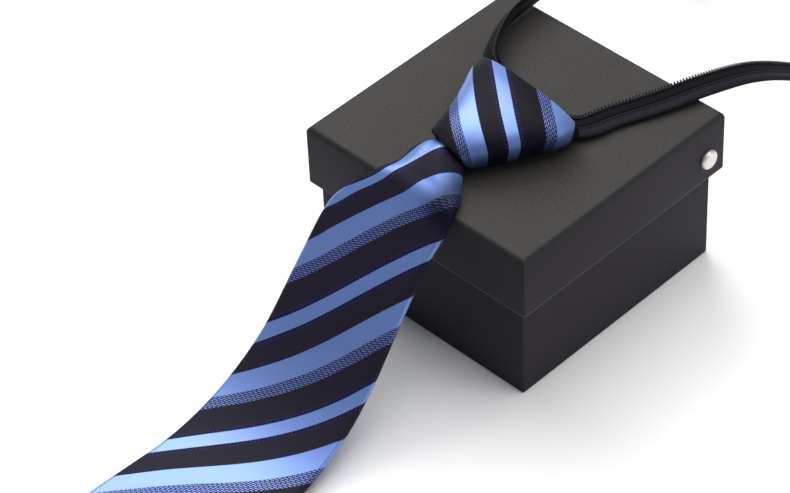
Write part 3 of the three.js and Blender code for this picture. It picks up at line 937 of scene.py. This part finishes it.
# The band's section, outwards from the seam and above its middle, in millimetres: a
# folded lip on the tape, a stitched groove and the crowned band to its outer fold
BAND_SECTION = (
    (0.15, -0.35), (0.10, 0.05), (0.22, 0.50), (0.50, 0.80), (0.85, 0.93), (1.20, 0.84),
    (1.50, 0.52), (1.72, 0.40), (1.98, 0.50), (2.40, 0.68), (3.10, 0.80), (3.90, 0.80),
    (4.60, 0.68), (5.10, 0.42), (5.34, 0.05), (5.28, -0.35), (4.90, -0.68), (4.00, -0.84),
    (2.80, -0.88), (1.60, -0.86), (0.80, -0.76), (0.35, -0.58),
)
TAPE_SECTION = (
    (0.10, -0.32), (0.10, 0.32), (1.40, 0.34), (2.80, 0.34), (3.60, 0.40), (4.30, 0.36),
    (4.62, 0.10), (4.62, -0.10), (4.30, -0.36), (3.60, -0.40), (2.80, -0.34), (1.40, -0.34),
)


# One turn of the coil, which grips the tape's edge: where its legs begin, how long they
# are, how far they stand from the tape, and where and by how much its head widens
TURN_START = 3.7 * MM
TURN_LEG = 1.75 * MM
TURN_RISE = 0.62 * MM
HEAD_START = 5.2 * MM
HEAD_WIDENING = 0.20


def tooth_model(settings):
    """One turn of the coil: along +X outwards, over and under the tape's edge."""
    leg = {"value": (TURN_LEG, 0, 0)}
    back = {"value": (-TURN_LEG, 0, 0)}
    clear_selection()
    bpy.ops.mesh.primitive_circle_add(
        vertices=8, radius=settings.wire / 2, location=(TURN_START, 0, TURN_RISE),
        rotation=(0, math.pi / 2, 0))
    model = named("coil_turn")
    bpy.ops.object.mode_set(mode="EDIT")
    bpy.ops.mesh.extrude_region_move(TRANSFORM_OT_translate=leg)
    bpy.ops.mesh.spin(
        steps=7, angle=math.pi, center=(TURN_START + TURN_LEG, 0, 0), axis=(0, 1, 0))
    bpy.ops.mesh.extrude_region_move(TRANSFORM_OT_translate=back)
    bpy.ops.object.mode_set(mode="OBJECT")
    settle(model)
    for vertex in model.data.vertices:
        head = max(0.0, (vertex.co.x - HEAD_START) / MM)
        vertex.co.y *= 1 + min(head, 1.0) * HEAD_WIDENING
    return model


def thread_model(name, segments, rings, size, place):
    """A bead of sewing thread: one loop over a coil turn, or one topstitch."""
    clear_selection()
    bpy.ops.mesh.primitive_uv_sphere_add(
        segments=segments, ring_count=rings, radius=0.5, location=(0, 0, 0))
    model = named(name)
    model.scale = size
    model.location = place
    settle(model)
    return model


SEWING_SIZE = (0.62 * MM, 0.95 * MM, 0.36 * MM)
SEWING_PLACE = (4.15 * MM, 0.5 * MM, 0.88 * MM)
STITCH_WIDTH = 0.34 * MM
STITCH_HEIGHT = 0.30 * MM
STITCH_SHARE = 0.82
GROOVE_PLACE = (1.72 * MM, 0, 0.42 * MM)


def sewing_model():
    """The sewing loop that holds one coil turn on the tape."""
    return thread_model("coil_thread", 8, 5, SEWING_SIZE, SEWING_PLACE)


def stitch_model(settings):
    """One topstitch along +Y in the band's groove."""
    size = (STITCH_WIDTH, settings.stitch * STITCH_SHARE, STITCH_HEIGHT)
    return thread_model("band_stitch", 10, 8, size, GROOVE_PLACE)


# Materials of the neck loop, by millimetres along and round a strip. The band's cloth is
# painted paler on the lid's right and behind the box, as painted light, and darker nearer the knot,
# as painted shade
RIB_PITCH = 0.42
HERRINGBONE = 1.0
HERRINGBONE_PITCH = 0.5
PLY_PITCH = 0.28 * MM
# Where the painted light on the band begins and ends, in millimetres along the loop
PAINTED_LIGHT_START = (50, 130)
PAINTED_LIGHT_END = (300, 400)


def band_cloth(settings):
    finish = Finish("folded_cloth", sheen_weight=0.03, sheen_roughness=0.4, specular_ior_level=0.12)
    run, across, _ = finish.split(finish.cloth())
    rib = ((run * 0.75 + across * 0.66) / RIB_PITCH).ridge()
    worn = finish.noise(finish.join(run, across, 0.0), 0.35, 3.0)
    # Painted light: paler along this stretch of the loop, darker before it near the knot
    painted_light_stretch = run.step(*PAINTED_LIGHT_START) * (1.0 - run.step(*PAINTED_LIGHT_END))
    tone = worn * (0.35 + painted_light_stretch * 0.65)
    colour = finish.shade(tone, settings.band_colour, 0.5, 2.2)
    return finish.set(
        base_color=colour,
        roughness=0.62 + worn * 0.12,
        normal=finish.bump(rib * 0.6 + worn * 0.8, 0.05 * MM, 0.6),
    )


def zip_cloth(settings):
    """Herringbone tape: its diagonal turns round twice in every millimetre across."""
    finish = Finish(
        "herringbone_tape", sheen_weight=0.02, sheen_roughness=0.5, specular_ior_level=0.06)
    run, across, _ = finish.split(finish.cloth())
    turn = (across / HERRINGBONE).ridge()
    rib = ((run + turn * 0.5) / HERRINGBONE_PITCH).ridge()
    colour = finish.shade(rib, settings.tape_colour, 0.55, 1.9)
    return finish.set(
        base_color=colour,
        roughness=0.78 - rib * 0.1,
        normal=finish.bump(rib, 0.08 * MM, 0.8),
    )


def nylon(settings):
    finish = Finish("coil_nylon", specular_ior_level=0.30)
    worn = finish.noise(finish.places(), 900.0, 2.0)
    colour = finish.shade(worn, settings.coil_colour, 0.8, 1.5)
    return finish.set(
        base_color=colour,
        roughness=0.30 + worn * 0.18,
        normal=finish.bump(worn, 0.01 * MM, 0.5),
    )


def thread(settings):
    """The sewing thread, made once for the stitches and the coil's sewing."""
    shared = bpy.data.materials.get("sewing_thread")
    if shared:
        return shared
    finish = Finish("sewing_thread", sheen_weight=0.05, specular_ior_level=0.15)
    x, y, z = finish.split(finish.places())
    ply = ((x + y + z) / PLY_PITCH).ridge()
    colour = finish.shade(ply, settings.tape_colour, 1.5, 5.0)
    return finish.set(
        base_color=colour,
        roughness=0.55 + ply * 0.1,
        normal=finish.bump(ply, 0.02 * MM, 0.6),
    )


# Gift box

# The height of the painted highlight along the lid's lower edge, its hem, the radius of a crease
# and of a cut edge as shares of the board's thickness, and how near two places are the same
HEM = 0.50 * MM
CREASE = 0.4
CUT_EDGE = 0.2
NEAR = 0.01 * MM


def paper(settings):
    """Black grained paper over board: warm and flecked on level faces, purple-black and plain on
    upright ones.
    Level faces are also painted lighter than upright ones, as painted light, and the rounded edges
    one even dark tone, as painted shade."""
    finish = Finish("grained_paper", specular_ior_level=0.28)
    place = finish.places()
    height = finish.split(place)[2]
    # Mask of the painted highlight along the lid's lower hem
    hem = height.between(LID_LOW.z - MM, LID_LOW.z + HEM, 0.12 * MM)
    facing = finish.split(finish.add("ShaderNodeNewGeometry", None, None, "Normal"))[2]
    # Mask of the level faces, which are painted lighter, partly as painted light
    level = facing.step(0.86, 0.99)
    # Mask of the rounded edges, which get painted shade
    painted_edge_shade = facing.between(0.20, 0.90, 0.08)
    grain = finish.noise(place, 1500.0, 4.0, 0.7)
    fibre = finish.noise(place, 1050.0, 3.0, 0.6)
    cloudy = finish.noise(place, 38.0, 3.0, 0.5)
    speck = fibre.step(0.52, 0.72) * grain.step(0.46, 0.62)
    tone = cloudy * 0.35 + grain.step(0.34, 0.66) * 0.65
    top = finish.shade(tone, settings.paper, 0.62, 1.38)
    top = finish.blend(speck * 0.4, top, settings.speckle)
    side = finish.shade(tone, settings.skirt, 0.80, 1.20)
    # Painted light: level faces lighter than upright ones, over the paper's own warmer, flecked
    # look on top
    colour = finish.blend(level, side, top)
    # Painted shade: one even dark tone on the rounded edges
    colour = finish.blend(painted_edge_shade * 0.85, colour, scaled(settings.paper, 0.46))
    # Painted highlight: a pale band along the lid's lower hem, on upright faces
    colour = finish.blend(hem * (1.0 - level) * 0.8, colour, scaled(settings.skirt, 8))
    return finish.set(
        base_color=colour,
        roughness=0.62 + grain * 0.16,
        normal=finish.bump(grain * 0.8 + fibre * 0.7, 0.10 * MM, 0.5),
    )


def soften(piece, radius, segments, share):
    """Rounds edges, each by its own share of the radius."""
    mesh = piece.data
    weights = mesh.attributes.new("bevel_weight_edge", "FLOAT", "EDGE")
    for edge in mesh.edges:
        first, second = (mesh.vertices[end].co for end in edge.vertices)
        weights.data[edge.index].value = share(first, second)
    finished(piece, "BEVEL", width=radius, segments=segments, limit_method="WEIGHT",
             use_clamp_overlap=False)


def open_tray(name, low, high, board, radius, open_side):
    """A tray of board: a block without one face, made thick, its outer edges rounded."""
    closed = high.z if open_side < 0 else low.z
    clear_selection()
    bpy.ops.mesh.primitive_cube_add(size=1, location=(low + high) / 2)
    piece = named(name)
    piece.scale = high - low
    settle(piece)
    bpy.ops.object.mode_set(mode="EDIT")
    select_faces(lambda face: face.normal.z * open_side > 0.5)
    bpy.ops.mesh.delete(type="ONLY_FACE")
    bpy.ops.object.mode_set(mode="OBJECT")
    finished(piece, "SOLIDIFY", thickness=board, offset=-1, use_even_offset=True)

    def share(first, second):
        if abs(first.z - closed) + abs(second.z - closed) < NEAR:
            return 1.0
        outside = min(first.x - low.x, high.x - first.x) < NEAR
        upright = abs(first.z - second.z) > 4 * board
        return CREASE * board / radius if outside and upright else 0.0

    soften(piece, radius, 6, share)
    finished(piece, "BEVEL", width=CUT_EDGE * board, segments=3, limit_method="ANGLE",
             angle_limit=math.radians(60), use_clamp_overlap=False)
    smooth_by_angle(piece, 35)
    return piece


# Rings cut into a rivet's head, each as a share of its radius inside the one before
DOME_RINGS = (0.22, 0.38)


def rivet_piece(name, side, low, high):
    """A domed rivet head, standing on the lid's skirt."""
    middle = (low + high) / 2
    radius = (high.y - low.y) / 2
    seat = LID_HIGH.x + GAP * 0.2
    rise = max(abs(high.x), abs(low.x)) - seat
    clear_selection()
    bpy.ops.mesh.primitive_cylinder_add(
        vertices=64, radius=radius, depth=rise, end_fill_type="NGON",
        location=(0, 0, rise / 2))
    piece = named(name)
    bpy.ops.object.mode_set(mode="EDIT")
    select_faces(lambda face: face.normal.z > 0.9)
    for share in DOME_RINGS:
        bpy.ops.mesh.inset(thickness=radius * share, depth=0)
    bpy.ops.object.mode_set(mode="OBJECT")
    for vertex in piece.data.vertices:
        if vertex.co.z > rise * 0.1:
            reach = min(math.hypot(vertex.co.x, vertex.co.y) / radius, 1.0)
            vertex.co.z = rise * (0.50 + 0.50 * math.sqrt(max(0.0, 1 - reach**4)))
    piece.data.update()
    finished(piece, "SUBSURF", levels=2, render_levels=2)
    piece.rotation_euler = (0, math.radians(90 * side), 0)
    piece.location = (side * seat, middle.y, middle.z)
    settle(piece)
    smooth_by_angle(piece, 50)
    return piece


def polished(settings):
    finish = Finish("polished_rivet", metallic=0.55)
    place = finish.places()
    wear = finish.noise(place, 700.0, 3.0)
    broad = finish.noise(place, 180.0, 2.0)
    colour = finish.blend(broad, scaled(settings.rivet, 0.86), settings.rivet)
    return finish.set(
        base_color=colour,
        roughness=0.30 + wear * 0.16,
        normal=finish.bump(broad, 0.02 * MM, 0.3),
    )


def lacquer():
    finish = Finish("black_lacquer", metallic=0.4)
    wear = finish.noise(finish.places(), 800.0, 2.0)
    colour = finish.blend(wear, (0.015, 0.015, 0.018), (0.05, 0.05, 0.055))
    return finish.set(
        base_color=colour,
        roughness=0.30 + wear * 0.2,
        normal=finish.bump(wear, 0.01 * MM, 0.4),
    )


# Stage

CAMERA_PLACE = Vector((581.4, -613.9, 794.4)) * MM
CAMERA_AIM = Vector((-36.3, -25.0, 0.0)) * MM
CAMERA_ROLL = math.radians(-2.90)
CAMERA_LENS = 149.05
SOFTBOX_AIM = Vector((0, 0, 0.05))
SOFTBOXES = {
    "key": ((-1.10, 0.45, 1.35), 1.2),
    "overhead": ((0.15, 0.35, 1.80), 1.7),
    "side": ((1.40, 0.60, 0.60), 1.0),
}


def add_camera():
    """The camera at the photograph's angle."""
    back = (CAMERA_PLACE - CAMERA_AIM).normalized()
    level = (-back).cross(Vector((0, 0, 1))).normalized()
    upright = level.cross(-back)
    side = level * math.cos(CAMERA_ROLL) + upright * math.sin(CAMERA_ROLL)
    rise = upright * math.cos(CAMERA_ROLL) - level * math.sin(CAMERA_ROLL)
    data = bpy.data.cameras.new("camera")
    data.lens = CAMERA_LENS
    data.sensor_fit = "HORIZONTAL"
    data.sensor_width = 36.0
    data.clip_start = 0.05
    data.clip_end = 20.0
    camera = bpy.data.objects.new("camera", data)
    bpy.context.scene.collection.objects.link(camera)
    turn = Matrix((side, rise, back)).transposed().to_4x4()
    camera.matrix_world = Matrix.Translation(CAMERA_PLACE) @ turn
    bpy.context.scene.camera = camera


def add_softbox(name, place, size, power):
    """A square soft light that faces the box."""
    data = bpy.data.lights.new(name, "AREA")
    data.size = size
    data.energy = power
    light = bpy.data.objects.new(name, data)
    bpy.context.scene.collection.objects.link(light)
    light.location = place
    light.rotation_euler = (SOFTBOX_AIM - Vector(place)).to_track_quat("-Z", "Y").to_euler()


def add_floor(settings):
    clear_selection()
    bpy.ops.mesh.primitive_plane_add(size=8.0, location=(0, 0, 0))
    floor = named("stage_floor")
    finish = Finish("stage_floor", roughness=0.75, specular_ior_level=0.2)
    cloudy = finish.noise(finish.places(), 2.0, 2.0)
    colour = finish.blend(cloudy, scaled(settings.floor, 0.985), settings.floor)
    floor.data.materials.append(finish.set(base_color=colour))


def add_world(settings):
    world = bpy.data.worlds.new("studio")
    world.use_nodes = True
    background = world.node_tree.nodes["Background"]
    background.inputs["Color"].default_value = (0.96, 0.97, 1.0, 1.0)
    background.inputs["Strength"].default_value = settings.fill
    bpy.context.scene.world = world
    bpy.context.scene.view_settings.view_transform = "Standard"


# Operators

class TIE_OT_weave_blade(bpy.types.Operator):
    """Builds the striped blade from the knot down to its point"""

    bl_idname = "tie.weave_blade"
    bl_label = "Weave Blade"

    def execute(self, context):
        settings = context.scene.tie_silk
        piece = build_blade(settings)
        dressed(piece, silk_material(settings), "tie_silk", "blade")
        blade_area(settings)
        return {"FINISHED"}


class TIE_OT_wrap_knot(bpy.types.Operator):
    """Wraps the knot round the blade's neck"""

    bl_idname = "tie.wrap_knot"
    bl_label = "Wrap Knot"

    def execute(self, context):
        settings = context.scene.tie_silk
        piece = build_knot(settings)
        dressed(piece, silk_material(settings), "tie_silk", "knot")
        return {"FINISHED"}


class TIE_OT_fold_band(bpy.types.Operator):
    """Folds the neck band and sews its groove"""

    bl_idname = "tie.fold_band"
    bl_label = "Fold Neck Band"

    def execute(self, context):
        settings = context.scene.tie_loop
        piece = strip("loop_band", settings, "band", BAND_SECTION)
        dressed(piece, band_cloth(settings), "band_cloth", "neck_band")
        stitches = copies("band_stitches", stitch_model(settings),
                          along_loop(settings, "band", settings.stitch))
        dressed(stitches, thread(settings), "band_cloth")
        return {"FINISHED"}


class TIE_OT_lay_tape(bpy.types.Operator):
    """Lays the zip's woven tape along the loop"""

    bl_idname = "tie.lay_tape"
    bl_label = "Lay Zip Tape"

    def execute(self, context):
        settings = context.scene.tie_loop
        piece = strip("loop_tape", settings, "tape", TAPE_SECTION)
        dressed(piece, zip_cloth(settings), "zip_tape", "zip_tape")
        return {"FINISHED"}


class TIE_OT_wind_coil(bpy.types.Operator):
    """Winds the coil's teeth along the tape's edge and sews them down"""

    bl_idname = "tie.wind_coil"
    bl_label = "Wind Coil Teeth"

    def execute(self, context):
        settings = context.scene.tie_loop
        places = along_loop(settings, "tape", settings.tooth_pitch)
        turns = copies("coil_teeth", tooth_model(settings), places)
        outward(turns)
        dressed(turns, nylon(settings), "zip_teeth", "zip_teeth")
        sewing = copies("coil_sewing", sewing_model(), places)
        dressed(sewing, thread(settings), "zip_tape")
        return {"FINISHED"}


class TIE_OT_make_box(bpy.types.Operator):
    """Makes the base tray and the lid in grained paper"""

    bl_idname = "tie.make_box"
    bl_label = "Make Gift Box"

    def execute(self, context):
        settings = context.scene.tie_box
        material = paper(settings)
        board = settings.board
        lid = open_tray("paper_lid", LID_LOW, LID_HIGH, board, settings.edge, -1)
        dressed(lid, material, "box_paper", "box_lid")
        base = open_tray("paper_base", BASE_LOW, BASE_HIGH, board, board * CREASE, 1)
        dressed(base, material, "box_paper", "box_base")
        return {"FINISHED"}


class TIE_OT_set_rivets(bpy.types.Operator):
    """Sets the polished rivets and lacquers the hidden slider"""

    bl_idname = "tie.set_rivets"
    bl_label = "Set Rivets"

    def execute(self, context):
        settings = context.scene.tie_box
        metal = polished(settings)
        for node, side in (("rivet_right", 1), ("rivet_left", -1)):
            low, high = (Vector(corner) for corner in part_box(node))
            piece = rivet_piece(node.replace("rivet", "dome"), side, low, high)
            dressed(piece, metal, "rivet_metal", node)
        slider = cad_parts["zip_slider"]
        slider.data.materials.clear()
        slider.data.materials.append(lacquer())
        return {"FINISHED"}


class TIE_OT_set_stage(bpy.types.Operator):
    """Sets the floor, the lights and the camera"""

    bl_idname = "tie.set_stage"
    bl_label = "Set Stage"

    def execute(self, context):
        settings = context.scene.tie_stage
        add_floor(settings)
        add_world(settings)
        for name, (place, size) in SOFTBOXES.items():
            add_softbox(name, place, size, getattr(settings, name))
        add_camera()
        return {"FINISHED"}


class TIE_PT_finish(bpy.types.Panel):
    """Lists the steps that dress the zipper tie"""

    bl_idname = "TIE_PT_finish"
    bl_label = "Zipper Tie"
    bl_space_type = "VIEW_3D"
    bl_region_type = "UI"
    bl_category = "Zipper Tie"

    def draw(self, context):
        for operator in OPERATORS:
            self.layout.operator(operator.bl_idname)


OPERATORS = (
    TIE_OT_weave_blade,
    TIE_OT_wrap_knot,
    TIE_OT_fold_band,
    TIE_OT_lay_tape,
    TIE_OT_wind_coil,
    TIE_OT_make_box,
    TIE_OT_set_rivets,
    TIE_OT_set_stage,
)
SETTINGS = {
    "tie_silk": SilkSettings,
    "tie_loop": LoopSettings,
    "tie_box": BoxSettings,
    "tie_stage": StageSettings,
}


def register():
    for group in SETTINGS.values():
        bpy.utils.register_class(group)
    for name, group in SETTINGS.items():
        setattr(bpy.types.Scene, name, bpy.props.PointerProperty(type=group))
    for operator in OPERATORS:
        bpy.utils.register_class(operator)
    bpy.utils.register_class(TIE_PT_finish)


def unregister():
    bpy.utils.unregister_class(TIE_PT_finish)
    for operator in reversed(OPERATORS):
        bpy.utils.unregister_class(operator)
    for name, group in SETTINGS.items():
        delattr(bpy.types.Scene, name)
        bpy.utils.unregister_class(group)


def main():
    register()
    bpy.ops.tie.weave_blade()
    bpy.ops.tie.wrap_knot()
    bpy.ops.tie.fold_band()
    bpy.ops.tie.lay_tape()
    bpy.ops.tie.wind_coil()
    bpy.ops.tie.make_box()
    bpy.ops.tie.set_rivets()
    bpy.ops.tie.set_stage()


if __name__ == "__main__":
    main()
